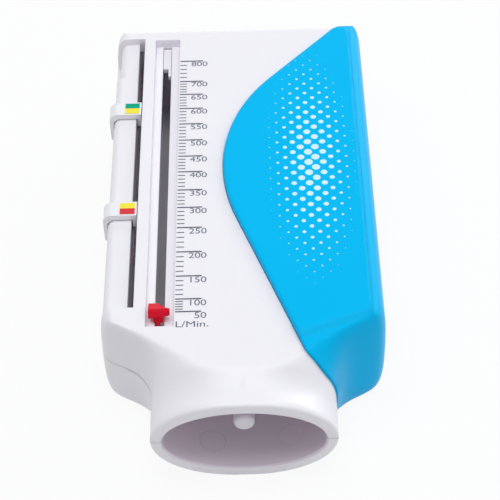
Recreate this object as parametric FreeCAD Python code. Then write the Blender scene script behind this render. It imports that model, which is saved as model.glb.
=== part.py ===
"""Peak flow meter: a flat hand-held meter with an oval mouthpiece, a sprung vane on a guide tube, a sliding
red pointer over a printed scale, two zone markers on a side rail and a coloured grip cover.

Millimetres. X runs to the right of the scale, Y from the mouthpiece to the rear, Z up from the back the meter
rests on. The origin is the middle of that back."""
import FreeCAD, Part
import math
import os

Vec = FreeCAD.Vector

# Driving sizes of the body. A size that ends in _in is measured in from the body's side, and one that ends in
# _drop down from its top.
body_half_width = 38.0
body_height = 30.0
split_z = 14.5
rim_y = -76.66
rear_y = 76.2
rear_edge_radius = 2.6
rear_corner_radius = 6.0

# Plan outline from the straight sides to the neck of the mouthpiece.
shoulder_y = -43.7
shoulder_radius = 6.0
shoulder_turn = 60.0
neck_radius = 13.0
neck_in = 13.7
neck_top_z = 28.4
neck_bottom_z = 0.0
neck_round_y = -68.0
rim_round = 0.7
rim_flare = 0.1
mouth_round = 0.6
mouth_straight_end_y = -63.0

# The flat top runs towards the mouthpiece as a tongue with a rounded tip.
flat_top_in = 4.0
back_edge_inset = 3.0
back_round_start_y = -53.5
back_round_end_y = -68.0
tongue_root_y = -48.4
tongue_slope = 1.5
tongue_tip_y = -66.3
tip_drop_start_y = -63.5
tip_drop_end_y = -72.0
least_flat_half = 0.8
square_top = 0.80
square_back = 0.84
round_quarter = 0.5523
loft_steps = (0.0, 1.1, 2.5, 4.0, 5.6, 7.4, 9.4, 11.8, 14.3, 16.8, 19.4, 21.8, 24.2, 27.2)

# Air chamber, throat and the walls between them.
chamber_in = 10.7
chamber_floor_z = 3.2
chamber_ceiling_drop = 4.2
chamber_front_y = -50.3
chamber_rear_y = 71.2
throat_spread = 0.1
throat_step = 1.5
throat_floor_z = 4.7
mouth_side_wall = 3.1
mouth_wall = 3.5
mouth_floor_z = 3.1

# Scale, pointer channel and pointer slot.
scale_zero_y = -45.2
pointer_travel = 105.0
channel_left_in = 12.6
channel_right_in = 20.1
channel_floor_drop = 2.6
channel_front_y = -50.2
channel_rear_y = 70.4
slot_left_in = 14.9
slot_right_in = 17.5
slot_front_y = -49.4
slot_rear_y = 70.0

# Marker rail along the left side and the trench beside it.
rail_top_drop = 2.1
rail_side_in = 0.8
rail_round = 2.2
rail_foot_z = 18.6
rail_front_y = -43.2
rail_rear_y = 71.2
rail_notch_in = 1.9
rail_notch_y = 55.0
bead_groove_depth = 0.6
bead_groove_z = 20.3
bead_groove_height = 1.6
trench_left_in = 7.5
trench_right_in = 9.3
trench_floor_z = 8.0
trench_rear_y = 71.2

# Hollows that core out the thick sides.
wall = 2.0
pocket_front_y = -40.5
pocket_rear_y = 67.5
pocket_floor_z = 3.4
right_pocket_top_drop = 3.4

# Pegs that line the two shells up.
peg_in = 5.2
peg_front_y = -45.6
peg_rear_y = 73.4
peg_radius = 1.3
peg_height = 3.0
peg_clearance = 0.1
peg_spare = 0.3

# Grip cover on the right side.
cover_stand_out = 0.5
cover_wall = 1.6
cover_gap = 0.1
cover_edge_gap = 0.15
cover_left_in = 42.7
cover_left_y = 11.6
cover_rear_radius = 58.5
cover_front_radius = 65.2
cover_rear_angle = 40.8
cover_front_angle = 19.2
cover_run = 90.0
cover_corner_y = -60.5
cover_corner_radius = 4.0
cover_shelf_in = 3.1
cover_front_y = -63.3
pad_height = 0.8
pad_round = 0.6
pad_right_in = 3.5
pad_rear_y = 73.2
pad_step_left_in = 24.0
pad_step_left_y = -54.8
pad_step_right_y = -46.2
pad_step_run = 1.9
pad_corner_radius = 2.2
pad_root = 1.7

# Guide tube with the return spring inside it.
tube_radius = 2.8
tube_bore_radius = 2.0
tube_front_y = -69.2
tube_rear_y = 70.6
tube_slot_width = 1.5
tube_slot_spare = 1.2
nose_front_y = -71.2
nose_round = 1.1
plug_depth = 2.4
plug_clearance = 0.05
anchor_y = -62.8
pin_radius = 0.5
spring_radius = 1.35
spring_wire_radius = 0.2
spring_turns = 9
spring_loop_radius = 0.75
spring_loop_gap = 1.4

# Vane and hub that ride on the guide tube.
vane_gap = 0.3
vane_thickness = 1.2
vane_corner_radius = 1.6
push_gap = 0.3
hub_radius = 5.0
hub_front_length = 4.0
hub_rear_length = 7.0
hub_clearance = 0.08
hub_flange_radius = 8.0
hub_flange = 1.4
rib_reach_in = 18.0
rib_reach_z = 8.2
rib_thickness = 1.0
rib_depth = 2.2
spring_pin_back = 4.6
pin_past_axis = 0.8
pin_foot_gap = 0.2

# Holder of the tube's rear end, with the tab that fills the end of the pointer slot.
holder_plate = 2.3
holder_gap = 0.05
holder_boss_radius = 5.2
holder_boss_length = 6.6
window_inner_x = 8.5
window_outer_in = 18.2
window_half_height = 7.2
window_corner_radius = 1.5
tab_side_gap = 0.12
tab_top_gap = 0.1
tab_split_in = 16.6
tab_long_front = 3.6
tab_stem_gap = 0.4
tab_rear_gap = 1.0
tab_root_length = 2.2
tab_root_drop = 3.0
rear_slot_width = 2.0
rear_slot_count = 4

# Pointer and its foot.
head_left_in = 13.3
head_right_in = 16.8
head_tip_in = 19.0
head_front = 1.4
head_rear = 3.4
head_tip_half = 0.4
head_bend_in = 17.4
head_bend = 1.3
head_corner_in = 15.8
head_under_drop = 0.8
head_peak_rise = 1.0
head_front_drop = 0.2
head_rear_drop = 0.1
head_notch = 0.3
head_notch_half = 0.25
head_float = 0.2
shank_left_in = 14.6
shank_right_in = 17.3
shank_rear = 1.2
shank_lean = 0.5
stem_left_in = 15.0
stem_right_in = 16.4
stem_length = 0.9
foot_front_wall = 1.7
foot_side = 1.0
foot_height = 2.7
foot_drop = 0.25
foot_wall = 0.45
fit_gap = 0.05

# Zone markers.
marker_length = 5.6
upper_marker_y = 38.2
lower_marker_y = -5.0
marker_plate_drop = 0.2
marker_rail_gap = 0.25
marker_leg_gap = 0.15
marker_outer_leg = 1.15
marker_round = 2.6
marker_outer_foot_z = 19.2
marker_inner_foot_drop = 4.6
marker_inner_gap = 0.25
marker_bead = 0.45
marker_bead_gap = 0.25
marker_foot_taper = 1.4
marker_taper_z = 24.0
label_thickness = 0.15
label_left_in = 4.3
label_right_in = 8.5
label_colour_length = 2.2

# Strip across the trench, whose wavy edge leaves the calibrated air slit, and the wall slots that feed it.
strip_top_drop = 5.1
strip_thickness = 0.7
strip_groove_depth = 0.7
strip_end_depth = 1.0
strip_gap = 0.05
slit_front_width = 0.95
slit_rear_width = 1.35
slit_wave = 0.13
slit_wave_count = 7
wall_slot_floor_z = 9.2
wall_slot_drop = 1.9
wall_slot_length = 18.0
wall_slot_count = 5
wall_slot_front_y = -42.0
wall_slot_pitch = 21.0

far = 200.0


def smooth(t):
    """Rises from 0 to 1 with level ends."""
    t = min(1.0, max(0.0, t))
    return t * t * (3.0 - 2.0 * t)


def block(x0, x1, y0, y1, z0, z1):
    """A box between two corners."""
    return Part.makeBox(x1 - x0, y1 - y0, z1 - z0, Vec(x0, y0, z0))


def rod(radius, start_y, end_y, x=0.0, z=split_z):
    """A round bar along Y."""
    return Part.makeCylinder(radius, end_y - start_y, Vec(x, start_y, z), Vec(0, 1, 0))


def prism(points, direction):
    """A straight-sided outline pushed along a direction."""
    return Part.Face(Part.makePolygon(points + points[:1])).extrude(direction)


def plan_half_width(y, grow):
    """Half width of the body in plan: side, shoulder arc, slanting front, neck arc and neck."""
    turn = math.radians(shoulder_turn)
    convex = shoulder_radius + grow
    concave = neck_radius - grow
    convex_x = body_half_width - shoulder_radius
    concave_x = neck_half_width + neck_radius
    convex_end = (convex_x + convex * math.cos(turn), shoulder_y - convex * math.sin(turn))
    concave_start_x = concave_x - concave * math.cos(turn)
    line_drop = (convex_end[0] - concave_start_x) / math.tan(turn)
    concave_start_y = convex_end[1] - line_drop
    concave_y = concave_start_y - concave * math.sin(turn)
    if y >= shoulder_y:
        return body_half_width + grow
    if y >= convex_end[1]:
        return convex_x + math.sqrt(max(0.0, convex ** 2 - (shoulder_y - y) ** 2))
    if y >= concave_start_y:
        return convex_end[0] - (convex_end[1] - y) * math.tan(turn)
    if y >= concave_y:
        return concave_x - math.sqrt(max(0.0, concave ** 2 - (y - concave_y) ** 2))
    return neck_half_width + grow + rim_flare * smooth((concave_y - y) / (concave_y - rim_y))


def tongue_half_width(y):
    """Half width of the flat top, a V with a rounded tip in front of the shoulders."""
    if y >= tongue_root_y:
        return flat_top_half
    apex_y = tongue_root_y - flat_top_half / tongue_slope
    rounding = tongue_tip_y - apex_y
    reach = max(0.0, (y - apex_y) ** 2 - rounding ** 2) if y > tongue_tip_y else 0.0
    return max(least_flat_half, min(flat_top_half, tongue_slope * math.sqrt(reach)))


def quarter(start, end, corner, squareness):
    """A curve that leaves start and reaches end along the two sides of a corner."""
    curve = Part.BezierCurve()
    curve.setPoles([start, start + (corner - start) * squareness, end + (corner - end) * squareness, end])
    return curve.toShape()


def section(y, half_width, flat_top, top_z, top_square, flat_back, back_z, back_square, middle_z=split_z):
    """A closed cross-section at y: two flats joined by four quarter curves."""
    top_left, top_right = Vec(-flat_top, y, top_z), Vec(flat_top, y, top_z)
    back_left, back_right = Vec(-flat_back, y, back_z), Vec(flat_back, y, back_z)
    left, right = Vec(-half_width, y, middle_z), Vec(half_width, y, middle_z)
    return Part.Wire([
        Part.LineSegment(top_left, top_right).toShape(),
        quarter(top_right, right, Vec(half_width, y, top_z), top_square),
        quarter(right, back_right, Vec(half_width, y, back_z), back_square),
        Part.LineSegment(back_right, back_left).toShape(),
        quarter(back_left, left, Vec(-half_width, y, back_z), back_square),
        quarter(left, top_left, Vec(-half_width, y, top_z), top_square),
    ])


def body_section(y, grow):
    """The body's cross-section at y, grown outwards by grow."""
    to_neck = smooth((shoulder_y - y) / (shoulder_y - neck_round_y))
    to_round = smooth((back_round_start_y - y) / (back_round_start_y - back_round_end_y))
    to_rim = smooth((tip_drop_start_y - y) / (tip_drop_start_y - tip_drop_end_y))
    back = plan_half_width(y, 0.0) - back_edge_inset
    return section(
        y,
        plan_half_width(y, grow),
        tongue_half_width(y),
        body_height + (neck_top_z - body_height) * to_rim + grow,
        square_top + (round_quarter - square_top) * to_neck,
        back + (least_flat_half - back) * to_round,
        neck_bottom_z * to_rim - grow,
        square_back + (round_quarter - square_back) * to_round,
    )


def body_form(grow):
    """The whole outer form: lofted shoulders and neck, and a straight rear part with rounded rear edges."""
    front = Part.makeLoft([body_section(y, grow) for y in loft_stations + [rim_y]], True, False)
    rear = Part.Face(body_section(shoulder_y, grow)).extrude(Vec(0, rear_y + grow - shoulder_y, 0))
    form = front.fuse(rear.common(rounded_end(grow))).removeSplitter()
    return form.cut(block(-far, far, -far, far, -far, max(0.0, -grow)))


def rounded_end(grow):
    """A long bar whose rear end is rounded in plan and, with a smaller radius, above and below."""
    half, end = body_half_width + grow, rear_y + grow
    plan = block(-half, half, shoulder_y, end, -far, far)
    plan = plan.makeFillet(
        rear_corner_radius + grow, edges_where(plan, lambda b: b.ZLength > far and b.YMin > end - 0.01)
    )
    side = block(-far, far, shoulder_y, end, -grow, body_height + grow)
    side = side.makeFillet(
        rear_edge_radius + grow, edges_where(side, lambda b: b.XLength > far and b.YMin > end - 0.01)
    )
    return plan.common(side)


def edges_where(solid, test):
    """The edges of a solid whose bounding box passes a test."""
    return [e for e in solid.Edges if test(e.BoundBox)]


def oval(y, half_width, half_height, middle_z):
    """An upright ellipse across the long axis at y."""
    centre = Vec(0, y, middle_z)
    curve = Part.Ellipse(centre + Vec(half_width, 0, 0), centre + Vec(0, 0, half_height), centre)
    return Part.Wire([curve.toShape()])


def oval_bar(stations):
    """A bar lofted straight from oval to oval; a station is y, half width, half height and middle."""
    return Part.makeLoft([oval(*station) for station in stations], True, True)


def cover_area(shift):
    """Everything behind and to the right of the cover's edge in plan, with that edge moved out by shift."""
    rear_r, front_r = cover_rear_radius + shift, cover_front_radius + shift
    rear_centre = Vec(cover_left_x + cover_rear_radius, cover_left_y, -far)
    front_centre = Vec(cover_left_x + cover_front_radius, cover_left_y, -far)

    def rear_point(angle):
        turn = math.radians(angle)
        return rear_centre + Vec(-math.cos(turn), math.sin(turn), 0) * rear_r

    def front_point(angle):
        turn = math.radians(angle)
        return front_centre + Vec(-math.cos(turn), -math.sin(turn), 0) * front_r

    rear_turn, front_turn = math.radians(cover_rear_angle), math.radians(cover_front_angle)
    rear_arc, front_arc = rear_point(cover_rear_angle), front_point(cover_front_angle)
    left = rear_point(0.0)
    rear_far = rear_arc + Vec(math.sin(rear_turn), math.cos(rear_turn), 0) * cover_run
    run = (front_arc.y - cover_corner_y) / math.cos(front_turn)
    corner = front_arc + Vec(math.sin(front_turn), -math.cos(front_turn), 0) * run
    shelf = Vec(cover_shelf_x - shift / 2, cover_front_y - shift, -far)
    rear_out, front_out = Vec(far, rear_far.y, -far), Vec(far, shelf.y, -far)
    outline = Part.Wire([
        Part.LineSegment(rear_out, rear_far).toShape(),
        Part.LineSegment(rear_far, rear_arc).toShape(),
        Part.Arc(rear_arc, rear_point(cover_rear_angle / 2), left).toShape(),
        Part.Arc(left, front_point(cover_front_angle / 2), front_arc).toShape(),
        Part.LineSegment(front_arc, corner).toShape(),
        Part.LineSegment(corner, shelf).toShape(),
        Part.LineSegment(shelf, front_out).toShape(),
        Part.LineSegment(front_out, rear_out).toShape(),
    ])
    area = Part.Face(outline).extrude(Vec(0, 0, 2 * far))

    def at(point, box):
        return box.XLength < 0.01 and abs(box.XMin - point.x) < 0.01 and abs(box.YMin - point.y) < 0.01

    return area.makeFillet(cover_corner_radius, edges_where(area, lambda b: at(corner, b) or at(shelf, b)))


def step_line(shift, z):
    """The area ahead of the pad's front step at height z, with the step moved forwards by shift."""
    slope = (pad_step_right_y - pad_step_left_y) / (pad_right_x - pad_step_left_x)
    left_y = pad_step_left_y - slope * (pad_step_left_x + far) - shift
    right_y = pad_step_left_y + slope * (far - pad_step_left_x) - shift
    ahead_y = left_y - far
    corners = [Vec(-far, ahead_y, z), Vec(far, ahead_y, z), Vec(far, right_y, z), Vec(-far, left_y, z)]
    return Part.makePolygon(corners + corners[:1])


def grip_cover():
    """The coloured cover: a bent wall round the right side with a raised pad on top."""
    inner = body_form(cover_stand_out - cover_wall)
    wall_solid = body_form(cover_stand_out).common(cover_area(0.0))
    pad = cover_area(0.0).common(block(-far, pad_right_x, -far, pad_rear_y, pad_top_z - pad_root, pad_top_z))
    step_foot = step_line(pad_step_run, pad_top_z - pad_height)
    step = Part.makeLoft([step_foot, step_line(-pad_step_run, pad_top_z + pad_height)], True, True)
    pad = pad.cut(step.fuse(Part.Face(step_foot).extrude(Vec(0, 0, -2 * pad_root))))
    upright = edges_where(pad, lambda b: b.ZLength > pad_root / 2 and b.YMin > 0)
    corner = [e for e in upright if e.BoundBox.XMin > pad_right_x - 0.1]
    pad = pad.makeFillet(pad_corner_radius, corner)
    rim = edges_where(pad, lambda b: b.ZLength < 0.01 and b.ZMin > pad_top_z - 0.01)
    pad = pad.makeFillet(pad_round, rim)
    return wall_solid.fuse(pad).cut(inner).removeSplitter()


def upper_left_edge(bar, left_x, top_z):
    """The edge of a bar along Y where its left side meets its top."""
    return edges_where(bar, lambda b: b.YLength > 1 and b.ZMin > top_z - 0.01 and b.XMax < left_x + 0.01)


def rail_cut():
    """What is cut away round the marker rail: above it, outside it and the groove for the markers' beads."""
    def rail(side_x, y0, y1):
        bar = block(side_x, trench_right_x + 1.0, y0, y1, rail_foot_z - 1.0, rail_top_z)
        return bar.makeFillet(rail_round, upper_left_edge(bar, side_x, rail_top_z))

    cut = block(-far, trench_left_x, rail_front_y, rail_rear_y, rail_foot_z, far)
    cut = cut.cut(rail(rail_side_x, rail_front_y - 1.0, rail_notch_y))
    cut = cut.cut(rail(rail_notch_x, rail_notch_y - 1.0, rail_rear_y + 1.0))
    groove = block(
        rail_side_x - 0.5, rail_side_x + bead_groove_depth, rail_front_y, rail_notch_y,
        bead_groove_z, bead_groove_z + bead_groove_height
    )
    return cut.fuse(groove)


def strip_outline(gap):
    """Plan of the slit strip: straight in its groove, wavy along the slit."""
    left_x = trench_left_x - strip_groove_depth + gap
    front_y, rear_end_y = rail_front_y - strip_end_depth + gap, trench_rear_y + strip_end_depth - gap
    span = trench_rear_y - rail_front_y
    steps = 4 * slit_wave_count
    wave = []
    for i in range(steps + 1):
        t = i / steps
        width = slit_front_width + (slit_rear_width - slit_front_width) * t
        width += slit_wave * math.sin(2 * math.pi * slit_wave_count * t)
        wave.append(Vec(trench_right_x - width, rail_front_y + span * t, strip_top_z))
    curve = Part.BSplineCurve()
    curve.interpolate(wave)
    corners = [
        Vec(wave[-1].x, rear_end_y, strip_top_z), Vec(left_x, rear_end_y, strip_top_z),
        Vec(left_x, front_y, strip_top_z), Vec(wave[0].x, front_y, strip_top_z)
    ]
    edges = [curve.toShape(), Part.LineSegment(wave[-1], corners[0]).toShape()]
    edges += [Part.LineSegment(corners[i], corners[i + 1]).toShape() for i in range(3)]
    edges.append(Part.LineSegment(corners[3], wave[0]).toShape())
    return Part.Face(Part.Wire(edges))


def vent_strip():
    """The thin strip that lies across the trench."""
    return strip_outline(strip_gap).extrude(Vec(0, 0, -strip_thickness))


def strip_groove():
    """The groove that holds the strip's straight side and its ends."""
    return block(
        trench_left_x - strip_groove_depth, trench_right_x - slit_front_width + 2 * slit_wave,
        rail_front_y - strip_end_depth, trench_rear_y + strip_end_depth,
        strip_top_z - strip_thickness - strip_gap, strip_top_z + strip_gap
    )


def air_space():
    """The vane's chamber, the throat, the mouth and the rear slots."""
    chamber = block(
        -chamber_half_width, chamber_half_width, chamber_front_y, chamber_rear_y,
        chamber_floor_z, chamber_ceiling_z
    )
    along = edges_where(chamber, lambda b: b.YLength > 1)
    chamber = chamber.makeFillet(vane_corner_radius + vane_gap, along)
    mouth = (mouth_half_width, mouth_half_height, mouth_middle_z)
    lip = (mouth_half_width + mouth_round, mouth_half_height + mouth_round, mouth_middle_z)
    throat = oval_bar([
        (rim_y - 0.1, *lip), (rim_y + mouth_round, *mouth), (mouth_straight_end_y, *mouth),
        (chamber_front_y + 0.1, throat_half_width, throat_half_height, throat_middle_z)
    ])
    space = chamber.fuse(throat)
    pitch = (window_outer_x - window_inner_x - rear_slot_width) / (rear_slot_count - 1)
    for side in (-1, 1):
        for i in range(rear_slot_count):
            middle = side * (window_inner_x + rear_slot_width / 2 + pitch * i)
            half = rear_slot_width / 2
            space = space.fuse(block(
                middle - half, middle + half, chamber_rear_y - 0.1, rear_y + 1.0,
                split_z - window_half_height, split_z + window_half_height
            ))
    return space


def shell_cuts():
    """Everything that is cut from both shells."""
    cuts = [air_space(), rail_cut(), strip_groove()]
    cuts.append(block(channel_left_x, channel_right_x, channel_front_y, channel_rear_y, channel_floor_z, far))
    cuts.append(block(slot_left_x, slot_right_x, slot_front_y, slot_rear_y, chamber_ceiling_z - 0.1, far))
    cuts.append(block(trench_left_x, trench_right_x, rail_front_y, trench_rear_y, trench_floor_z, far))
    for i in range(wall_slot_count):
        y = wall_slot_front_y + wall_slot_pitch * i
        cuts.append(block(
            trench_right_x - 0.1, -chamber_half_width + 0.1, y, y + wall_slot_length,
            wall_slot_floor_z, wall_slot_top_z
        ))
    left_inner_x = trench_left_x - wall
    cuts.append(block(
        rail_notch_x + wall, left_inner_x, pocket_front_y, pocket_rear_y, pocket_floor_z, split_z
    ))
    right_outer_x = body_half_width - cover_recess - wall
    cuts.append(block(
        chamber_half_width + wall, right_outer_x, pocket_front_y, pocket_rear_y,
        pocket_floor_z, right_pocket_top_z
    ))
    return cuts


def housing():
    """The two white shells."""
    form = body_form(0.0)
    rim = edges_where(form, lambda b: b.YLength < 0.01 and b.YMax < rim_y + 0.01)
    form = form.makeFillet(rim_round, rim)
    form = form.cut(cover_area(cover_edge_gap).cut(body_form(-cover_recess)))
    for cut in shell_cuts():
        form = form.cut(cut)
    top = form.common(block(-far, far, -far, far, split_z, far))
    bottom = form.common(block(-far, far, -far, far, -far, split_z))
    for x in (-peg_x, peg_x):
        for y in (peg_front_y, peg_rear_y):
            foot = Vec(x, y, split_z)
            hole = Part.makeCylinder(peg_radius + peg_clearance, peg_height + peg_spare, foot)
            peg = Part.makeCylinder(peg_radius, peg_height + 1.0, foot - Vec(0, 0, 1.0))
            top = top.cut(hole)
            bottom = bottom.fuse(peg)
    return top.removeSplitter(), bottom.removeSplitter()


def guide_tube():
    """The tube the vane rides on, slotted underneath for the spring pin."""
    tube = rod(tube_radius, tube_front_y, tube_rear_y)
    tube = tube.cut(rod(tube_bore_radius, tube_front_y - 1, tube_rear_y + 1))
    half = tube_slot_width / 2
    slot = block(
        -half, half, spring_pin_y - tube_slot_spare, spring_pin_y + pointer_travel + tube_slot_spare,
        split_z - tube_radius - 1, split_z
    )
    hole_start = Vec(-2 * tube_radius, anchor_y, split_z)
    pin_hole = Part.makeCylinder(pin_radius, 4 * tube_radius, hole_start, Vec(1, 0, 0))
    return tube.cut(slot).cut(pin_hole)


def tube_nose():
    """The rounded plug in the tube's front end."""
    nose = rod(tube_radius, nose_front_y, tube_front_y)
    nose = nose.makeFillet(nose_round, edges_where(nose, lambda b: b.YMax < nose_front_y + 0.01))
    return nose.fuse(rod(tube_bore_radius - plug_clearance, tube_front_y - 0.5, tube_front_y + plug_depth))


def anchor_pin():
    """The cross pin that holds the spring's front loop."""
    pin = Part.makeCylinder(pin_radius, 2 * tube_radius, Vec(-tube_radius, anchor_y, split_z), Vec(1, 0, 0))
    return pin.common(rod(tube_radius, anchor_y - 2, anchor_y + 2))


def return_spring():
    """The long extension spring inside the tube, with a loop at each end."""
    r, w = spring_radius, spring_wire_radius
    start = anchor_y + spring_loop_gap
    length = spring_pin_y - spring_loop_gap - start
    helix = Part.makeHelix(length / spring_turns, length, r)
    section_wire = Part.Wire(Part.makeCircle(w, Vec(r, 0, 0), Vec(0, 1, 0)))
    coil = Part.Wire(helix.Edges).makePipeShell([section_wire], True, True)
    coil.rotate(Vec(0, 0, 0), Vec(1, 0, 0), -90)
    coil.translate(Vec(0, start, split_z))
    loop = spring_loop_radius
    front_loop = Part.makeTorus(loop, w, Vec(0, anchor_y, split_z), Vec(1, 0, 0))
    rear_loop = Part.makeTorus(loop, w, Vec(0, spring_pin_y, split_z), Vec(0, 0, 1))
    gap = spring_loop_gap - loop
    link = math.hypot(r, gap)
    front_link = Part.makeCylinder(w, link, Vec(0, anchor_y + loop, split_z), Vec(r, gap, 0))
    rear_link = Part.makeCylinder(w, link, Vec(0, spring_pin_y - loop, split_z), Vec(r, -gap, 0))
    return coil.fuse([front_loop, rear_loop, front_link, rear_link])


def vane():
    """The flat vane with stiffening ribs."""
    x, z0, z1 = chamber_half_width - vane_gap, chamber_floor_z + vane_gap, chamber_ceiling_z - vane_gap
    plate = block(-x, x, vane_front_y, vane_rear_y, z0, z1)
    corners = edges_where(plate, lambda b: b.YLength > 1 and b.ZLength < 0.1)
    plate = plate.makeFillet(vane_corner_radius, corners)
    half = rib_thickness / 2
    y0, y1 = vane_rear_y - 0.2, vane_rear_y + rib_depth
    plate = plate.fuse([
        block(-rib_reach_x, rib_reach_x, y0, y1, split_z - half, split_z + half),
        block(-half, half, y0, y1, split_z - rib_reach_z, split_z + rib_reach_z),
    ])
    hole = rod(hub_radius + fit_gap, vane_front_y - 1, vane_rear_y + rib_depth + 1)
    return plate.cut(hole).removeSplitter()


def vane_hub():
    """The hub that slides on the tube, with a flange in front of the vane."""
    hub = rod(hub_radius, vane_front_y - hub_front_length, vane_rear_y + hub_rear_length)
    hub = hub.fuse(rod(hub_flange_radius, vane_front_y - hub_flange, vane_front_y))
    hub = hub.cut(rod(tube_radius + hub_clearance, vane_front_y - far, vane_rear_y + far))
    pin_hole = Part.makeCylinder(pin_radius, hub_radius + 1, Vec(0, spring_pin_y, split_z), Vec(0, 0, -1))
    return hub.cut(pin_hole).removeSplitter()


def spring_pin():
    """The pin that reaches from the hub through the tube's slot to the spring."""
    foot = Vec(0, spring_pin_y, split_z - hub_radius + pin_foot_gap)
    return Part.makeCylinder(pin_radius, hub_radius - pin_foot_gap + pin_past_axis, foot)


def tube_holder():
    """The rear plate that carries the tube, with the stepped tab that fills the pointer slot's end."""
    gap = holder_gap
    rear = chamber_rear_y
    front = rear - holder_plate
    plate = block(
        -chamber_half_width + gap, chamber_half_width - gap, front, rear, chamber_floor_z + gap,
        chamber_ceiling_z - gap
    )
    upright = edges_where(plate, lambda b: b.YLength > 1 and b.ZLength < 0.1)
    plate = plate.makeFillet(vane_corner_radius + vane_gap, upright)
    for side in (-1, 1):
        middle = side * (window_inner_x + window_outer_x) / 2
        half = (window_outer_x - window_inner_x) / 2
        window = block(
            middle - half, middle + half, front - 1, rear + 1, split_z - window_half_height,
            split_z + window_half_height
        )
        corners = edges_where(window, lambda b: b.YLength > 1 and b.ZLength < 0.1)
        plate = plate.cut(window.makeFillet(window_corner_radius, corners))
    plate = plate.fuse(rod(holder_boss_radius, rear - holder_boss_length, rear))
    plate = plate.cut(rod(tube_radius + fit_gap, front - far, tube_rear_y))
    left, right = slot_left_x + tab_side_gap, slot_right_x - tab_side_gap
    top = channel_floor_z - tab_top_gap
    tab_front = stem_rear_y + pointer_travel + tab_stem_gap
    tab_rear = slot_rear_y - tab_rear_gap
    low = chamber_ceiling_z
    plate = plate.fuse([
        block(left, right, tab_front, tab_rear, low, top),
        block(tab_split_x, right, tab_front - tab_long_front, tab_front + 0.5, low, top),
        block(left, right, tab_rear - tab_root_length, tab_rear, low - tab_root_drop, top),
    ])
    return plate.removeSplitter()


def pointer():
    """The red pointer: a ridged head, its tip on the scale side, on a shank and a stem through the slot."""
    y0 = scale_zero_y
    floor = channel_floor_z + head_float
    outline = [
        Vec(head_left_x, y0 - head_front, head_under_z), Vec(head_right_x, y0 - head_front, head_under_z),
        Vec(head_tip_x, y0 - head_tip_half, head_under_z), Vec(head_tip_x, y0 + head_tip_half, head_under_z),
        Vec(head_bend_x, y0 + head_bend, head_under_z), Vec(head_corner_x, y0 + head_rear, head_under_z),
        Vec(head_left_x, y0 + head_rear, head_under_z),
    ]
    head = prism(outline, Vec(0, 0, body_height))
    front_y, rear_end_y = y0 - head_front - 0.01, y0 + head_rear + 0.01
    profile = [
        Vec(-far, front_y, 0), Vec(-far, front_y, head_front_z), Vec(-far, y0 - head_notch_half, head_peak_z),
        Vec(-far, y0, head_peak_z - head_notch), Vec(-far, y0 + head_notch_half, head_peak_z),
        Vec(-far, rear_end_y, head_rear_z), Vec(-far, rear_end_y, 0),
    ]
    head = head.common(prism(profile, Vec(2 * far, 0, 0)))
    lean = [
        Vec(shank_left_x, stem_front_y, floor), Vec(shank_left_x, y0 + shank_rear, floor),
        Vec(shank_left_x, y0 + shank_rear, head_under_z + 0.1),
        Vec(shank_left_x, stem_front_y + shank_lean, head_under_z + 0.1),
    ]
    shank = prism(lean, Vec(shank_right_x - shank_left_x, 0, 0))
    stem = block(stem_left_x, stem_right_x, stem_front_y, stem_rear_y, foot_bottom_z, floor + 0.5)
    return head.fuse([shank, stem]).removeSplitter()


def pointer_foot():
    """The clip on the stem's end that keeps the pointer in its slot and that the vane pushes."""
    rear = stem_rear_y + fit_gap + foot_wall
    foot = block(
        slot_left_x - foot_side, slot_right_x + foot_side, foot_front_y, rear, foot_bottom_z, foot_top_z
    )
    hole = block(
        stem_left_x - fit_gap, stem_right_x + fit_gap, stem_front_y - fit_gap, stem_rear_y + fit_gap,
        foot_bottom_z - 1, foot_top_z + 1
    )
    return foot.cut(hole)


def marker_clip(y):
    """A white clip that straddles the rail and snaps into the groove in its side."""
    half = marker_length / 2
    outer_x = rail_side_x - marker_leg_gap - marker_outer_leg
    inner_left_x = trench_left_x + marker_inner_gap
    inner_right_x = trench_right_x - marker_inner_gap
    under = rail_top_z + marker_rail_gap
    clip = block(outer_x, inner_right_x, y - half, y + half, marker_outer_foot_z, marker_plate_z)
    clip = clip.makeFillet(marker_round, upper_left_edge(clip, outer_x, marker_plate_z))
    hollow = block(rail_side_x - marker_leg_gap, inner_left_x, y - far, y + far, 0, under)
    hollow = hollow.makeFillet(rail_round, upper_left_edge(hollow, rail_side_x - marker_leg_gap, under))
    clip = clip.cut(hollow)
    clip = clip.cut(block(inner_left_x - 0.1, far, y - far, y + far, 0, marker_inner_foot_z))
    bead_foot = bead_groove_z + marker_bead_gap
    bead_top = bead_groove_z + bead_groove_height - marker_bead_gap
    bead = block(
        rail_side_x - marker_leg_gap - 0.2, rail_side_x - marker_leg_gap + marker_bead, y - half, y + half,
        bead_foot, bead_top
    )
    clip = clip.fuse(bead)
    for side in (-1, 1):
        taper = [
            Vec(-far, y + side * half, marker_taper_z), Vec(-far, y + side * (half + 1), marker_taper_z),
            Vec(-far, y + side * (half + 1), marker_outer_foot_z - 1),
            Vec(-far, y + side * (half - marker_foot_taper), marker_outer_foot_z - 1),
        ]
        clip = clip.cut(prism(taper, Vec(far + rail_side_x + 1.5, 0, 0)))
    return clip.removeSplitter()


def marker_label(y, start):
    """One coloured half of the sticker on a marker."""
    return block(
        label_left_x, label_right_x, y + start, y + start + label_colour_length, marker_plate_z,
        marker_plate_z + label_thickness
    )


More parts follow.
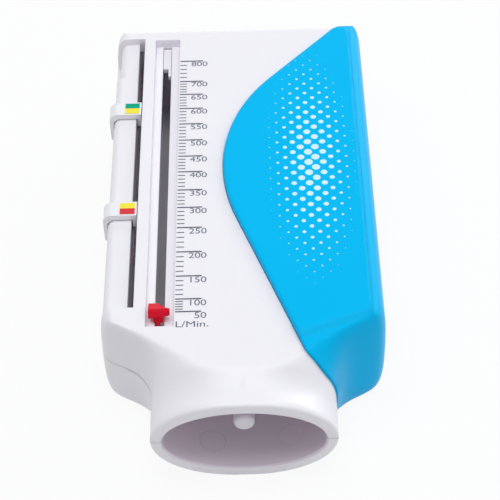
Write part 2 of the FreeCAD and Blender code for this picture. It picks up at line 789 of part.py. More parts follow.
# Places in from the left side, in from the right side, and down from the top.
rail_side_x = rail_side_in - body_half_width
rail_notch_x = rail_notch_in - body_half_width
trench_left_x = trench_left_in - body_half_width
trench_right_x = trench_right_in - body_half_width
label_left_x = label_left_in - body_half_width
label_right_x = label_right_in - body_half_width
channel_left_x = channel_left_in - body_half_width
channel_right_x = channel_right_in - body_half_width
slot_left_x = slot_left_in - body_half_width
slot_right_x = slot_right_in - body_half_width
tab_split_x = tab_split_in - body_half_width
head_left_x = head_left_in - body_half_width
head_right_x = head_right_in - body_half_width
head_tip_x = head_tip_in - body_half_width
head_bend_x = head_bend_in - body_half_width
head_corner_x = head_corner_in - body_half_width
shank_left_x = shank_left_in - body_half_width
shank_right_x = shank_right_in - body_half_width
stem_left_x = stem_left_in - body_half_width
stem_right_x = stem_right_in - body_half_width
peg_x = body_half_width - peg_in
pad_right_x = body_half_width - pad_right_in
pad_step_left_x = body_half_width - pad_step_left_in
cover_left_x = body_half_width - cover_left_in
window_outer_x = body_half_width - window_outer_in
rib_reach_x = body_half_width - rib_reach_in
flat_top_half = body_half_width - flat_top_in
neck_half_width = body_half_width - neck_in
mouth_half_width = neck_half_width - mouth_side_wall
throat_half_width = neck_half_width + throat_spread
cover_shelf_x = neck_half_width - cover_shelf_in
chamber_half_width = body_half_width - chamber_in
chamber_ceiling_z = body_height - chamber_ceiling_drop
channel_floor_z = body_height - channel_floor_drop
rail_top_z = body_height - rail_top_drop
right_pocket_top_z = body_height - right_pocket_top_drop
head_under_z = body_height - head_under_drop
head_front_z = body_height - head_front_drop
head_rear_z = body_height - head_rear_drop
marker_plate_z = body_height - marker_plate_drop
strip_top_z = body_height - strip_top_drop
marker_inner_foot_z = body_height - marker_inner_foot_drop
head_peak_z = body_height + head_peak_rise
throat_half_height = (chamber_ceiling_z - throat_step - throat_floor_z) / 2
throat_middle_z = throat_floor_z + throat_half_height
mouth_half_height = (neck_top_z - mouth_wall - mouth_floor_z) / 2
mouth_middle_z = mouth_floor_z + mouth_half_height
wall_slot_top_z = strip_top_z - wall_slot_drop

# Positions that follow from the sizes above.
loft_stations = [shoulder_y - step for step in loft_steps]
cover_recess = cover_wall - cover_stand_out + cover_gap
pad_top_z = body_height + cover_stand_out + pad_height
vane_front_y = chamber_front_y + vane_gap
vane_rear_y = vane_front_y + vane_thickness
spring_pin_y = vane_rear_y + spring_pin_back
foot_front_y = vane_rear_y + push_gap
stem_front_y = foot_front_y + foot_front_wall + fit_gap
stem_rear_y = stem_front_y + stem_length
foot_top_z = chamber_ceiling_z - foot_drop
foot_bottom_z = foot_top_z - foot_height


def main():
    os.makedirs("parts", exist_ok=True)
    top, bottom = housing()
    parts = {
        "housing_top": top,
        "housing_bottom": bottom,
        "grip_cover": grip_cover(),
        "vent_strip": vent_strip(),
        "guide_tube": guide_tube(),
        "tube_nose": tube_nose(),
        "tube_holder": tube_holder(),
        "anchor_pin": anchor_pin(),
        "return_spring": return_spring(),
        "vane": vane(),
        "vane_hub": vane_hub(),
        "spring_pin": spring_pin(),
        "pointer": pointer(),
        "pointer_foot": pointer_foot(),
        "upper_marker": marker_clip(upper_marker_y),
        "upper_label_green": marker_label(upper_marker_y, 0.0),
        "upper_label_yellow": marker_label(upper_marker_y, -label_colour_length),
        "lower_marker": marker_clip(lower_marker_y),
        "lower_label_yellow": marker_label(lower_marker_y, 0.0),
        "lower_label_red": marker_label(lower_marker_y, -label_colour_length),
    }
    for name, shape in parts.items():
        box = shape.BoundBox
        print(name, shape.isValid(), len(shape.Solids), round(shape.Volume, 2),
              [round(v, 2) for v in (box.XMin, box.XMax, box.YMin, box.YMax, box.ZMin, box.ZMax)])
        shape.exportStep("parts/" + name + ".step")


main()
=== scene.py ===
# %% [markdown]
# # A peak flow meter, dressed for a studio photograph
#
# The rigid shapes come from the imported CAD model: a white shell with an oval mouthpiece, a blue grip cover, a red
# pointer in its channel and two zone markers on a rail. This lesson gives them moulded plastic, prints the scale,
# puts a pattern on the cover, and lights and frames the whole as a product photograph.

# %% Load the frame
import math

import bpy
from mathutils import Matrix, Vector


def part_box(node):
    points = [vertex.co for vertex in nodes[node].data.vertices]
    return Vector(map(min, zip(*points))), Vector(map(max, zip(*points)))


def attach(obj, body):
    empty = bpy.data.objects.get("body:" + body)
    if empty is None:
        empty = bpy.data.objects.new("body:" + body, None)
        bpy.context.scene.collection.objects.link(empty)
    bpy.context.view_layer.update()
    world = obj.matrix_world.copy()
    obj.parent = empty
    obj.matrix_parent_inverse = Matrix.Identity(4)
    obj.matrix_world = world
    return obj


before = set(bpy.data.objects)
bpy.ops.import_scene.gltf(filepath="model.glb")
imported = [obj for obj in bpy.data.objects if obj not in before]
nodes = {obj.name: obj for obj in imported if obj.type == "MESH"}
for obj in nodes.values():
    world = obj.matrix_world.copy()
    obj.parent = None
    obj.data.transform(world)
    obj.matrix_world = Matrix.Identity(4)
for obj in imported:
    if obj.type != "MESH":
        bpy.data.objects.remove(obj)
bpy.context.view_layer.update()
mm = 0.001


# %% [markdown]
# Colours are easiest to name as a screen shows them, from 0 to 255, and Blender's nodes want them linear. One small
# helper does the change, and every colour of the meter is then named once.


# %% Name the colours
def linear(red, green, blue):
    """A colour given as screen values, for Blender's nodes."""
    def channel(value):
        value /= 255.0
        return value / 12.92 if value <= 0.04045 else ((value + 0.055) / 1.055) ** 2.4

    return (channel(red), channel(green), channel(blue), 1.0)


shell_white = linear(247, 242, 249)
clip_white = linear(247, 244, 249)
inner_white = linear(240, 236, 243)
# The vent strip's grey-mauve, darkened to the shade deep in its trench: partly its own grey, partly painted shade.
strip_shade_grey = linear(108, 98, 110)
cover_blue = linear(0, 188, 245)
dot_white = linear(214, 242, 250)
pointer_red = linear(230, 16, 46)
sticker_green = linear(0, 166, 134)
sticker_yellow = linear(252, 234, 72)
sticker_red = linear(226, 60, 70)
print_ink = linear(100, 104, 122)
spring_grey = linear(190, 192, 198)
# Painted shade for the grooves of the parting line and the pin marks.
groove_shade = linear(176, 172, 182)
drift_shadow = (0.62, 0.66, 0.74, 1.0)
# Painted shade: the greyer, warmer white deep inside the mouth.
mouth_shade = (0.885, 0.82, 0.85, 1.0)
paper_grey = (0.84, 0.84, 0.84, 1.0)
plain_white = (1.0, 1.0, 1.0, 1.0)
print("colours named")

# %% [markdown]
# Moulded plastic is never quite even. The surface of the tool leaves a very fine grain, the colour drifts a little
# where the melt met, and polished and dull patches alternate. Its edges are never knife sharp either. Every plastic
# on the meter has these four, in other amounts, so they are built once as a node group that puts out a colour, a
# roughness and a normal. The soft edges could be cut as fillets on every edge of the model, but on edges of a tenth
# of a millimetre the Bevel node gives the same glint of light for nothing.


# %% Start a shader group
def new_group(name, inputs, outputs):
    """An empty shader group with its sockets; inputs are name, type and value."""
    group = bpy.data.node_groups.new(name, "ShaderNodeTree")
    for label, kind, value in inputs:
        socket = group.interface.new_socket(label, in_out="INPUT", socket_type=kind)
        socket.default_value = value
    for label, kind in outputs:
        group.interface.new_socket(label, in_out="OUTPUT", socket_type=kind)
    return group


def calculate(tree, operation, *values):
    """A Math node; a value is a number or another node's output."""
    node = tree.nodes.new("ShaderNodeMath")
    node.operation = operation
    for place, value in enumerate(values):
        if isinstance(value, (int, float)):
            node.inputs[place].default_value = value
        else:
            tree.links.new(value, node.inputs[place])
    return node.outputs[0]


number, colour, vector = "NodeSocketFloat", "NodeSocketColor", "NodeSocketVector"


# %% Build the moulded plastic group
flow_scale, polish_scale = 28.0, 90.0
bump_height = 0.1 * mm


def moulded_group():
    """Colour drift, roughness patches, mould grain and soft edges."""
    group = new_group(
        "moulded_plastic",
        [("Colour", colour, plain_white), ("Drift", number, 0.03), ("Roughness", number, 0.35),
         ("Patches", number, 0.06), ("Grain scale", number, 2600.0), ("Grain depth", number, 0.05),
         ("Edge radius", number, 0.0002)],
        [("Colour", colour), ("Roughness", number), ("Normal", vector)],
    )
    make, join = group.nodes.new, group.links.new
    start, end = make("NodeGroupInput"), make("NodeGroupOutput")
    place = make("ShaderNodeTexCoord").outputs["Object"]

    flow = make("ShaderNodeTexNoise")
    flow.inputs["Scale"].default_value = flow_scale
    flow.inputs["Detail"].default_value = 2.0
    join(place, flow.inputs["Vector"])
    darker = make("ShaderNodeMix")
    darker.data_type = "RGBA"
    darker.blend_type = "MULTIPLY"
    darker.inputs["B"].default_value = drift_shadow
    join(calculate(group, "MULTIPLY", flow.outputs["Fac"], start.outputs["Drift"]), darker.inputs["Factor"])
    join(start.outputs["Colour"], darker.inputs["A"])
    join(darker.outputs["Result"], end.inputs["Colour"])

    polish = make("ShaderNodeTexNoise")
    polish.inputs["Scale"].default_value = polish_scale
    polish.inputs["Detail"].default_value = 4.0
    join(place, polish.inputs["Vector"])
    centred = calculate(group, "SUBTRACT", polish.outputs["Fac"], 0.5)
    rough = calculate(group, "MULTIPLY_ADD", centred, start.outputs["Patches"], start.outputs["Roughness"])
    join(rough, end.inputs["Roughness"])

    edges = make("ShaderNodeBevel")
    edges.samples = 4
    join(start.outputs["Edge radius"], edges.inputs["Radius"])
    grain = make("ShaderNodeTexNoise")
    grain.inputs["Detail"].default_value = 1.0
    join(place, grain.inputs["Vector"])
    join(start.outputs["Grain scale"], grain.inputs["Scale"])
    bump = make("ShaderNodeBump")
    bump.inputs["Distance"].default_value = bump_height
    join(start.outputs["Grain depth"], bump.inputs["Strength"])
    join(grain.outputs["Fac"], bump.inputs["Height"])
    join(edges.outputs["Normal"], bump.inputs["Normal"])
    join(bump.outputs["Normal"], end.inputs["Normal"])
    return group


moulded = moulded_group()
print("group", moulded.name, "with", len(moulded.nodes), "nodes")

# %% [markdown]
# A plastic material is the group feeding one Principled BSDF. Coat, specular level and the index of refraction are
# the same all over, so they are set on the shader itself.


# %% Make a plastic material
coat_roughness = 0.15


def plastic(
    name, shade, roughness=0.35, drift=0.03, patches=0.06, grain=0.05, grain_scale=2600.0, edge=0.0002, coat=0.0,
    gloss=0.5
):
    """A moulded plastic; returns the material, its shader node and the group node."""
    material = bpy.data.materials.new(name)
    material.use_nodes = True
    tree = material.node_tree
    shader = tree.nodes["Principled BSDF"]
    mould = tree.nodes.new("ShaderNodeGroup")
    mould.node_tree = moulded
    settings = {
        "Colour": shade, "Drift": drift, "Roughness": roughness, "Patches": patches,
        "Grain scale": grain_scale, "Grain depth": grain, "Edge radius": edge,
    }
    for label, value in settings.items():
        mould.inputs[label].default_value = value
    tree.links.new(mould.outputs["Colour"], shader.inputs["Base Color"])
    tree.links.new(mould.outputs["Roughness"], shader.inputs["Roughness"])
    tree.links.new(mould.outputs["Normal"], shader.inputs["Normal"])
    shader.inputs["Coat Weight"].default_value = coat
    shader.inputs["Coat Roughness"].default_value = coat_roughness
    shader.inputs["Specular IOR Level"].default_value = gloss
    return material, shader, mould


def paint(material, *names):
    """Gives the named CAD nodes one material."""
    for name in names:
        for place in nodes[name].material_slots:
            place.material = material
    print(material.name, "on", ", ".join(names))


# %% [markdown]
# The shell is two white halves that meet along a parting line, and inside the mouth the pins that push a half out
# of its mould leave faint round marks. Both are too fine to model, so they are masks read from the place on the
# shell: the line lies at one height, and a mark lies at one distance from its middle, on faces that look up.


# %% Draw the parting line and the pin marks
def mould_marks_group():
    """Masks of the parting line and of one pin mark; a mark is only on faces that look up."""
    group = new_group(
        "mould_marks",
        [("Line height", number, 0.0145), ("Line width", number, 0.00012), ("Mark middle", vector, (0, 0, 0)),
         ("Mark radius", number, 0.0034), ("Mark width", number, 0.0003), ("Mark top", number, 0.009)],
        [("Line", number), ("Mark", number)],
    )
    make, join = group.nodes.new, group.links.new
    start, end = make("NodeGroupInput"), make("NodeGroupOutput")
    coordinates = make("ShaderNodeTexCoord")
    apart = make("ShaderNodeSeparateXYZ")
    join(coordinates.outputs["Object"], apart.inputs[0])
    facing = make("ShaderNodeSeparateXYZ")
    join(coordinates.outputs["Normal"], facing.inputs[0])

    off_line = calculate(
        group, "ABSOLUTE", calculate(group, "SUBTRACT", apart.outputs["Z"], start.outputs["Line height"])
    )
    join(calculate(group, "LESS_THAN", off_line, start.outputs["Line width"]), end.inputs["Line"])

    flat = make("ShaderNodeCombineXYZ")
    join(apart.outputs["X"], flat.inputs["X"])
    join(apart.outputs["Y"], flat.inputs["Y"])
    reach = make("ShaderNodeVectorMath")
    reach.operation = "DISTANCE"
    join(flat.outputs[0], reach.inputs[0])
    join(start.outputs["Mark middle"], reach.inputs[1])
    off_ring = calculate(
        group, "ABSOLUTE", calculate(group, "SUBTRACT", reach.outputs["Value"], start.outputs["Mark radius"])
    )
    soft = make("ShaderNodeMapRange")
    soft.interpolation_type = "SMOOTHSTEP"
    soft.inputs["To Min"].default_value = 1.0
    soft.inputs["To Max"].default_value = 0.0
    join(off_ring, soft.inputs["Value"])
    join(start.outputs["Mark width"], soft.inputs["From Max"])
    looks_up = calculate(group, "GREATER_THAN", facing.outputs["Z"], 0.3)
    is_low = calculate(group, "LESS_THAN", apart.outputs["Z"], start.outputs["Mark top"])
    place = calculate(group, "MULTIPLY", looks_up, is_low)
    join(calculate(group, "MULTIPLY", soft.outputs["Result"], place), end.inputs["Mark"])
    return group


mould_marks = mould_marks_group()
print("group", mould_marks.name, "with", len(mould_marks.nodes), "nodes")


# %% [markdown]
# The shell's white plastic lets a little light in under its surface, which softens its shadows. Its edges are
# rounder on the neck, where the tongue runs out into the tube, than on the rest of the shell. A Bevel node with one
# radius can't give both, so the radius is read from the place along the shell.


# %% Make the shell's plastic
shell_plastic, shell_shader, shell_mould = plastic(
    "shell_plastic", shell_white, roughness=0.36, drift=0.05, edge=0.0003, coat=0.08
)
shell_shader.inputs["Subsurface Weight"].default_value = 0.25
shell_shader.inputs["Subsurface Radius"].default_value = (1.0, 0.85, 0.92)
shell_shader.inputs["Subsurface Scale"].default_value = 1.2 * mm

neck_middle_y, neck_half_length = -62.5 * mm, 11.5 * mm
shell_edge, neck_edge = 0.3 * mm, 1.5 * mm
tree = shell_plastic.node_tree
on_shell = tree.nodes.new("ShaderNodeSeparateXYZ")
tree.links.new(tree.nodes.new("ShaderNodeTexCoord").outputs["Object"], on_shell.inputs[0])
from_neck = calculate(tree, "ABSOLUTE", calculate(tree, "SUBTRACT", on_shell.outputs["Y"], neck_middle_y))
on_neck = calculate(tree, "LESS_THAN", from_neck, neck_half_length)
edge_radius = calculate(tree, "MULTIPLY_ADD", on_neck, neck_edge - shell_edge, shell_edge)
tree.links.new(edge_radius, shell_mould.inputs["Edge radius"])
print("shell edges:", shell_edge, "and on the neck", neck_edge)

# %% [markdown]
# The parting line and the pin marks are pressed in with one Bump node, and their grooves are painted a little
# darker: painted shade in the grooves.


# %% Press the marks into the shell
def add_marks(tree, middle, depth):
    """A mould marks node, its masks added as grooves; returns the two groove heights."""
    marks = tree.nodes.new("ShaderNodeGroup")
    marks.node_tree = mould_marks
    marks.inputs["Mark middle"].default_value = middle
    return marks.outputs["Line"], calculate(tree, "MULTIPLY", marks.outputs["Mark"], depth)


left_place, left_depth = (-8.5 * mm, -68.0 * mm, 0.0), 0.45
right_place, right_depth = (12.2 * mm, -67.5 * mm, 0.0), 0.25
groove_shade_amount = 0.45
line, left_mark = add_marks(tree, left_place, left_depth)
right_mark = add_marks(tree, right_place, right_depth)[1]
groove = calculate(tree, "ADD", calculate(tree, "ADD", line, left_mark), right_mark)
pressed = tree.nodes.new("ShaderNodeBump")
pressed.invert = True
pressed.inputs["Strength"].default_value = 0.5
pressed.inputs["Distance"].default_value = bump_height
tree.links.new(groove, pressed.inputs["Height"])
tree.links.new(shell_mould.outputs["Normal"], pressed.inputs["Normal"])
tree.links.new(pressed.outputs["Normal"], shell_shader.inputs["Normal"])
# Painted shade: the grooves are drawn darker than the white around them.
groove_shade_mix = tree.nodes.new("ShaderNodeMix")
groove_shade_mix.data_type = "RGBA"
groove_shade_mix.inputs["B"].default_value = groove_shade
tree.links.new(calculate(tree, "MULTIPLY", groove, groove_shade_amount), groove_shade_mix.inputs["Factor"])
tree.links.new(shell_mould.outputs["Colour"], groove_shade_mix.inputs["A"])
print("marks pressed at", left_place[:2], "and", right_place[:2])

# %% [markdown]
# Inside the mouth the white is painted a little greyer and warmer than outside: painted shade for the dim, warm
# light deep in the bore. The bore could be a part of its own with its own material, but it is one moulding with the
# shell, so an oval mask in the shell's material paints this shade on it.

# %% Paint shade inside the mouth
bore_half_width, bore_half_height = 21.6 * mm, 11.2 * mm
bore_middle_z, bore_end_y = 14.0 * mm, -40.0 * mm
bore_across = calculate(tree, "DIVIDE", on_shell.outputs["X"], bore_half_width)
above_middle = calculate(tree, "SUBTRACT", on_shell.outputs["Z"], bore_middle_z)
bore_up = calculate(tree, "DIVIDE", above_middle, bore_half_height)
bore_squares = calculate(
    tree, "ADD", calculate(tree, "POWER", bore_across, 2.0), calculate(tree, "POWER", bore_up, 2.0)
)
in_bore = calculate(tree, "LESS_THAN", bore_squares, 1.0)
at_front = calculate(tree, "LESS_THAN", on_shell.outputs["Y"], bore_end_y)
# The oval mask paints shade inside the bore, a greyer and warmer white.
mouth_shade_mix = tree.nodes.new("ShaderNodeMix")
mouth_shade_mix.data_type = "RGBA"
mouth_shade_mix.blend_type = "MULTIPLY"
mouth_shade_mix.inputs["B"].default_value = mouth_shade
tree.links.new(calculate(tree, "MULTIPLY", in_bore, at_front), mouth_shade_mix.inputs["Factor"])
tree.links.new(groove_shade_mix.outputs["Result"], mouth_shade_mix.inputs["A"])
tree.links.new(mouth_shade_mix.outputs["Result"], shell_shader.inputs["Base Color"])
paint(shell_plastic, "housing_top", "housing_bottom")

# %% [markdown]
# The small white parts inside and on the rail come from other moulds in a duller and a glossier white. The spring
# and its pins are steel: their metal is the same all over, so it is set on the shader.

# %% Finish the small parts
inner_plastic = plastic("inner_plastic", inner_white, roughness=0.46, drift=0.06)[0]
paint(inner_plastic, "guide_tube", "tube_nose", "tube_holder", "vane", "vane_hub", "pointer_foot")
# The vent strip deep in its trench is grey-mauve plastic, darkened further as painted shade for the depth of the
# trench.
strip_shaded_plastic = plastic("strip_shaded_plastic", strip_shade_grey, roughness=0.4, drift=0.1)[0]
paint(strip_shaded_plastic, "vent_strip")
clip_plastic = plastic("clip_plastic", clip_white, roughness=0.28, drift=0.04, edge=0.0003, coat=0.2)[0]
paint(clip_plastic, "upper_marker", "lower_marker")
red_plastic = plastic("red_plastic", pointer_red, roughness=0.3, drift=0.12, edge=0.0002, gloss=0.15)[0]
paint(red_plastic, "pointer")
steel, steel_shader = plastic("spring_steel", spring_grey, roughness=0.3, drift=0.1)[:2]
steel_shader.inputs["Metallic"].default_value = 1.0
paint(steel, "return_spring", "anchor_pin", "spring_pin")


# %% [markdown]
# Each marker carries a sticker in two colours. It is printed film: a little duller than the plastic under it, with
# a fine tooth in the surface where the ink lies.

# %% Finish the stickers
def sticker(name, shade):
    """Printed film in one colour."""
    return plastic(
        name, shade, roughness=0.42, drift=0.08, patches=0.12, grain=0.15, grain_scale=5200.0, edge=0.00005,
        gloss=0.15
    )[0]


paint(sticker("green_film", sticker_green), "upper_label_green")
paint(sticker("yellow_film", sticker_yellow), "upper_label_yellow", "lower_label_yellow")
paint(sticker("red_film", sticker_red), "lower_label_red")

# %% [markdown]
# The cover is one blue moulding in a satin finish, with a pattern printed in pale ink on its raised pad. A halftone
# is drawn here: rows of round dots that are largest in the middle of an oval and shrink to nothing at its edge. The
# dots could be little discs, but ink has no thickness that shows, so a mask in the material is enough. A Voronoi
# texture without randomness gives the distance to the nearest dot's middle, and the dot's radius is read from the
# place on the pad.


# %% Draw the dots
def halftone_group():
    """A mask of round dots in rows, inside an oval that lies in plan."""
    group = new_group(
        "halftone_dots",
        [("Middle", vector, (0, 0, 0)), ("Half width", number, 0.012),
         ("Half length", number, 0.05), ("Pitch", number, 0.003),
         ("Largest dot", number, 0.42), ("Face height", number, 0.03)],
        [("Dots", number)],
    )
    make, join = group.nodes.new, group.links.new
    start, end = make("NodeGroupInput"), make("NodeGroupOutput")
    place = make("ShaderNodeTexCoord").outputs["Object"]

    cells = make("ShaderNodeTexVoronoi")
    cells.voronoi_dimensions = "2D"
    cells.inputs["Randomness"].default_value = 0.0
    join(calculate(group, "DIVIDE", 1.0, start.outputs["Pitch"]), cells.inputs["Scale"])
    turned = make("ShaderNodeVectorRotate")
    turned.rotation_type = "Z_AXIS"
    turned.inputs["Angle"].default_value = math.radians(45.0)
    join(place, turned.inputs["Vector"])
    join(turned.outputs["Vector"], cells.inputs["Vector"])

    from_middle = make("ShaderNodeVectorMath")
    from_middle.operation = "SUBTRACT"
    join(place, from_middle.inputs[0])
    join(start.outputs["Middle"], from_middle.inputs[1])
    apart = make("ShaderNodeSeparateXYZ")
    join(from_middle.outputs["Vector"], apart.inputs[0])
    across = calculate(group, "DIVIDE", apart.outputs["X"], start.outputs["Half width"])
    along = calculate(group, "DIVIDE", apart.outputs["Y"], start.outputs["Half length"])
    squares = calculate(
        group, "ADD", calculate(group, "POWER", across, 2.0), calculate(group, "POWER", along, 2.0)
    )
    fade = calculate(group, "SUBTRACT", 1.0, calculate(group, "SQRT", squares))
    radius = calculate(group, "MULTIPLY", fade, start.outputs["Largest dot"])
    dots = calculate(group, "LESS_THAN", cells.outputs["Distance"], radius)

    height = make("ShaderNodeSeparateXYZ")
    join(place, height.inputs[0])
    on_face = calculate(group, "GREATER_THAN", height.outputs["Z"], start.outputs["Face height"])
    join(calculate(group, "MULTIPLY", dots, on_face), end.inputs["Dots"])
    return group


halftone = halftone_group()
print("group", halftone.name, "with", len(halftone.nodes), "nodes")

# %% Finish the cover
cover_plastic, cover_shader, cover_mould = plastic(
    "cover_plastic", cover_blue, roughness=0.3, drift=0.08, patches=0.05, grain=0.08, edge=0.0012, gloss=0.07
)
tree = cover_plastic.node_tree
printed = tree.nodes.new("ShaderNodeGroup")
printed.node_tree = halftone
pad_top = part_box("grip_cover")[1].z
pattern = {
    "Middle": (20.5 * mm, 12.0 * mm, 0.0), "Half width": 13.5 * mm, "Half length": 52.0 * mm,
    "Pitch": 3.1 * mm, "Face height": pad_top - 0.05 * mm,
}
for label, value in pattern.items():
    printed.inputs[label].default_value = value
inked = tree.nodes.new("ShaderNodeMix")
inked.data_type = "RGBA"
inked.inputs["B"].default_value = dot_white
tree.links.new(printed.outputs["Dots"], inked.inputs["Factor"])
tree.links.new(cover_mould.outputs["Colour"], inked.inputs["A"])
tree.links.new(inked.outputs["Result"], cover_shader.inputs["Base Color"])
paint(cover_plastic, "grip_cover")

# %% [markdown]
# The scale is printed in one dark ink beside the pointer's channel. Its steps aren't even, because the air slit
# widens along the way, so the places of the long marks are listed, and the short marks divide each gap in five.
# A long and a short mark are modelled once, as thin bars with rounded ends, and copied along the scale.

# %% Lay out the scale
scale_zero_y = -45.2
scale_left_x = -17.6
long_mark = 7.0
short_mark = 2.1
long_width = 0.32
short_width = 0.24
print_height = 0.03
face_z = 30.0
mark_places = {
    50: 0.0, 100: 4.6, 150: 13.1, 200: 22.3, 250: 31.8, 300: 39.9, 350: 47.1, 400: 54.7,
    450: 61.4, 500: 68.4, 550: 75.6, 600: 82.6, 650: 89.1, 700: 95.2, 800: 104.9,
}
ink = plastic("print_ink", print_ink, roughness=0.55, drift=0.2, grain=0.1, edge=0.00001)[0]


def finish_print(piece, name):
    """Names a printed piece, inks it and lets it ride on the shell."""
    piece.name = name
    piece.data.materials.clear()
    piece.data.materials.append(ink)
    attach(piece, "housing")


def model_mark(length, width):
    """One printed line at the scale's left edge and zero, a thin bar with rounded ends."""
    bpy.ops.object.select_all(action="DESELECT")
    middle = (scale_left_x + length / 2, scale_zero_y, face_z)
    bpy.ops.mesh.primitive_cube_add(size=1.0, location=[value * mm for value in middle])
    mark = bpy.context.object
    mark.scale = (length * mm, width * mm, print_height * mm)
    bpy.ops.object.transform_apply(location=True, rotation=True, scale=True)
    for edge in mark.data.edges:
        low, high = (mark.data.vertices[corner].co for corner in edge.vertices)
        edge.select = abs(low.z - high.z) > print_height * mm / 2
    bpy.ops.object.mode_set(mode="EDIT")
    bpy.ops.mesh.select_mode(type="EDGE")
    bpy.ops.mesh.bevel(offset=0.4 * width * mm, segments=3)
    bpy.ops.object.mode_set(mode="OBJECT")
    return mark


def copy_mark(mark, step):
    """A copy with its own mesh, step millimetres further along the scale."""
    bpy.ops.object.select_all(action="DESELECT")
    mark.select_set(True)
    bpy.context.view_layer.objects.active = mark
    bpy.ops.object.duplicate(linked=False)
    copy = bpy.context.object
    copy.location.y = step * mm
    bpy.ops.object.transform_apply(location=True, rotation=True, scale=True)
    return copy


# %% Copy the marks along the scale
steps = list(mark_places.values())
long_one, short_one = model_mark(long_mark, long_width), model_mark(short_mark, short_width)
marks = [long_one] + [copy_mark(long_one, step) for step in steps[1:]]
short_steps = [
    low + (high - low) * part / 5 for low, high in zip(steps, steps[1:]) for part in range(1, 5)
]
marks += [copy_mark(short_one, step) for step in short_steps]
bpy.data.objects.remove(short_one)
bpy.ops.object.select_all(action="DESELECT")
for mark in marks:
    mark.select_set(True)
bpy.context.view_layer.objects.active = long_one
bpy.ops.object.join()
finish_print(long_one, "scale_marks")
print("scale marks:", len(steps), "long and", len(short_steps), "short")

# %% [markdown]
# A figure stands before each long mark, right-aligned, and the unit stands under the last one. Blender's own
# letters are made a mesh as thick as a print, so that they lie on the shell like ink.

# %% Print the figures
figures_right_x = -9.25
figure_height = 2.2
figure_drop = 0.2
figure_stretch = 1.12
unit_stretch = 1.2
unit_drop = 3.3
capital_share = 0.73


def print_text(body, name, x, y, align, stretch=figure_stretch):
    """A flat text, made a thin mesh, with its baseline at y."""
    bpy.ops.object.select_all(action="DESELECT")
    bpy.ops.object.text_add(location=(x * mm, y * mm, face_z * mm))
    text = bpy.context.object
    text.data.body = body
    text.data.size = figure_height / capital_share * mm
    text.data.align_x = align
    text.data.extrude = print_height / 2 * mm
    text.scale.x = stretch
    bpy.ops.object.convert(target="MESH")
    bpy.ops.object.transform_apply(location=True, rotation=True, scale=True)
    finish_print(text, name)
    return text


for value, step in mark_places.items():
    base_y = scale_zero_y + step - figure_drop - figure_height
    print_text(str(value), f"figure_{value}", figures_right_x, base_y, "RIGHT")
unit_y = scale_zero_y - unit_drop - figure_height
print_text("L/Min.", "unit", scale_left_x, unit_y, "LEFT", unit_stretch)
print("figures:", len(mark_places))

# %% [markdown]
# The meter lies on white paper. A photographer would burn the paper out with more light, but that would bleach the
# meter too. So the paper is lit like the rest, and what the camera and the mirrored rays see of it is mixed with
# plain white, as on a light table. A faint shadow is left.


# %% Lay the paper
paper_glow = 0.9


def seen_directly(tree):
    """1 for rays from the camera and for mirrored and refracted ones, else 0."""
    path = tree.nodes.new("ShaderNodeLightPath")
    seen = calculate(tree, "MAXIMUM", path.outputs["Is Camera Ray"], path.outputs["Is Glossy Ray"])
    return calculate(tree, "MAXIMUM", seen, path.outputs["Is Transmission Ray"])


bpy.ops.object.select_all(action="DESELECT")
bpy.ops.mesh.primitive_plane_add(size=6.0, location=(0, 0, 0))
floor = bpy.context.object
floor.name = "studio_paper"
paper = bpy.data.materials.new("paper")
paper.use_nodes = True
tree = paper.node_tree
sheet_shader = tree.nodes["Principled BSDF"]
sheet_shader.inputs["Base Color"].default_value = paper_grey
sheet_shader.inputs["Roughness"].default_value = 0.9
glow = tree.nodes.new("ShaderNodeEmission")
glow.inputs["Color"].default_value = plain_white
blend = tree.nodes.new("ShaderNodeMixShader")
tree.links.new(calculate(tree, "MULTIPLY", seen_directly(tree), paper_glow), blend.inputs[0])
tree.links.new(sheet_shader.outputs[0], blend.inputs[1])
tree.links.new(glow.outputs[0], blend.inputs[2])
tree.links.new(blend.outputs[0], tree.nodes["Material Output"].inputs["Surface"])
floor.data.materials.append(paper)
print("paper laid")

# %% [markdown]
# The light is soft. Half of it comes from the room, which is brighter on the right, and the rest from a large soft
# box overhead and a low strip behind on the right, which draws the highlight along the cover's edge. The room's
# walls are plain white for rays that see them directly. Its ceiling isn't, so the cover's top keeps its deep blue.

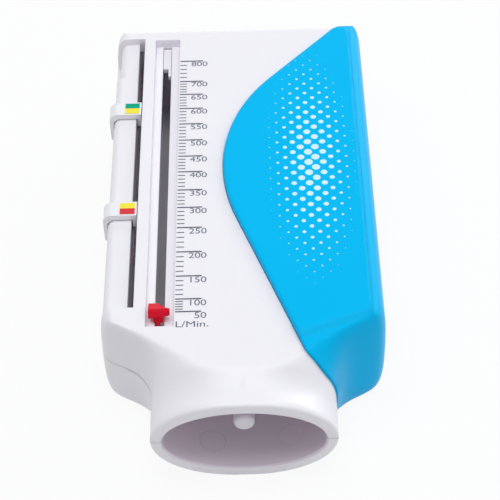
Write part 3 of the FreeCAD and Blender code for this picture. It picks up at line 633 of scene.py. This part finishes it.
# %% Light the room
room_strength = 0.47
right_strength = 0.14
light_tint = (0.965, 1.0, 1.005)
wall_end, ceiling_start = 0.2, 0.4
world = bpy.data.worlds.new("studio")
bpy.context.scene.world = world
world.use_nodes = True
tree = world.node_tree
room = tree.nodes["Background"]
room.inputs["Color"].default_value = (*light_tint, 1)
direction = tree.nodes.new("ShaderNodeSeparateXYZ")
tree.links.new(tree.nodes.new("ShaderNodeTexCoord").outputs["Generated"], direction.inputs[0])
room_light = calculate(tree, "MULTIPLY_ADD", direction.outputs["X"], right_strength, room_strength)
wall = tree.nodes.new("ShaderNodeMapRange")
wall.inputs["From Min"].default_value = wall_end
wall.inputs["From Max"].default_value = ceiling_start
wall.inputs["To Min"].default_value = 1.0
wall.inputs["To Max"].default_value = 0.0
tree.links.new(direction.outputs["Z"], wall.inputs["Value"])
white = calculate(tree, "MULTIPLY", seen_directly(tree), wall.outputs["Result"])
to_white = calculate(tree, "SUBTRACT", 1.0, room_light)
tree.links.new(calculate(tree, "MULTIPLY_ADD", white, to_white, room_light), room.inputs["Strength"])


def soft_box(name, place, target, width, depth, power):
    """A rectangular area light aimed at a point."""
    bpy.ops.object.light_add(type="AREA", location=place)
    lamp = bpy.context.object
    lamp.name = name
    lamp.data.shape = "RECTANGLE"
    lamp.data.size = width
    lamp.data.size_y = depth
    lamp.data.energy = power
    lamp.data.color = light_tint
    lamp.rotation_euler = (Vector(target) - Vector(place)).to_track_quat("-Z", "Y").to_euler()
    return lamp


meter_middle = (0, 0, 0.02)
soft_box("overhead", (-0.05, 0.02, 1.1), meter_middle, width=0.8, depth=0.8, power=6.3)
soft_box("rear_strip", (0.65, 0.85, 0.42), meter_middle, width=0.9, depth=0.3, power=3.3)
print("lamps:", [lamp.name for lamp in bpy.data.lights])

# %% [markdown]
# The camera stands where the photograph's perspective puts it: in front of the mouthpiece, looking down at the
# scale by about 45 degrees, with a slight roll.

# %% Place the camera
camera_place = Vector((4.95, -358.9, 365.3)) * mm
camera_yaw, camera_down, camera_roll = math.radians(-0.413), math.radians(44.93), math.radians(-1.73)
bpy.ops.object.camera_add()
camera = bpy.context.object
camera.data.sensor_width = 36.0
camera.data.lens = 125.3
turn = Matrix.Rotation(-camera_yaw, 4, "Z") @ Matrix.Rotation(math.pi / 2 - camera_down, 4, "X")
camera.matrix_world = Matrix.Translation(camera_place) @ turn @ Matrix.Rotation(camera_roll, 4, "Z")
bpy.context.scene.camera = camera
bpy.context.scene.view_settings.view_transform = "Standard"
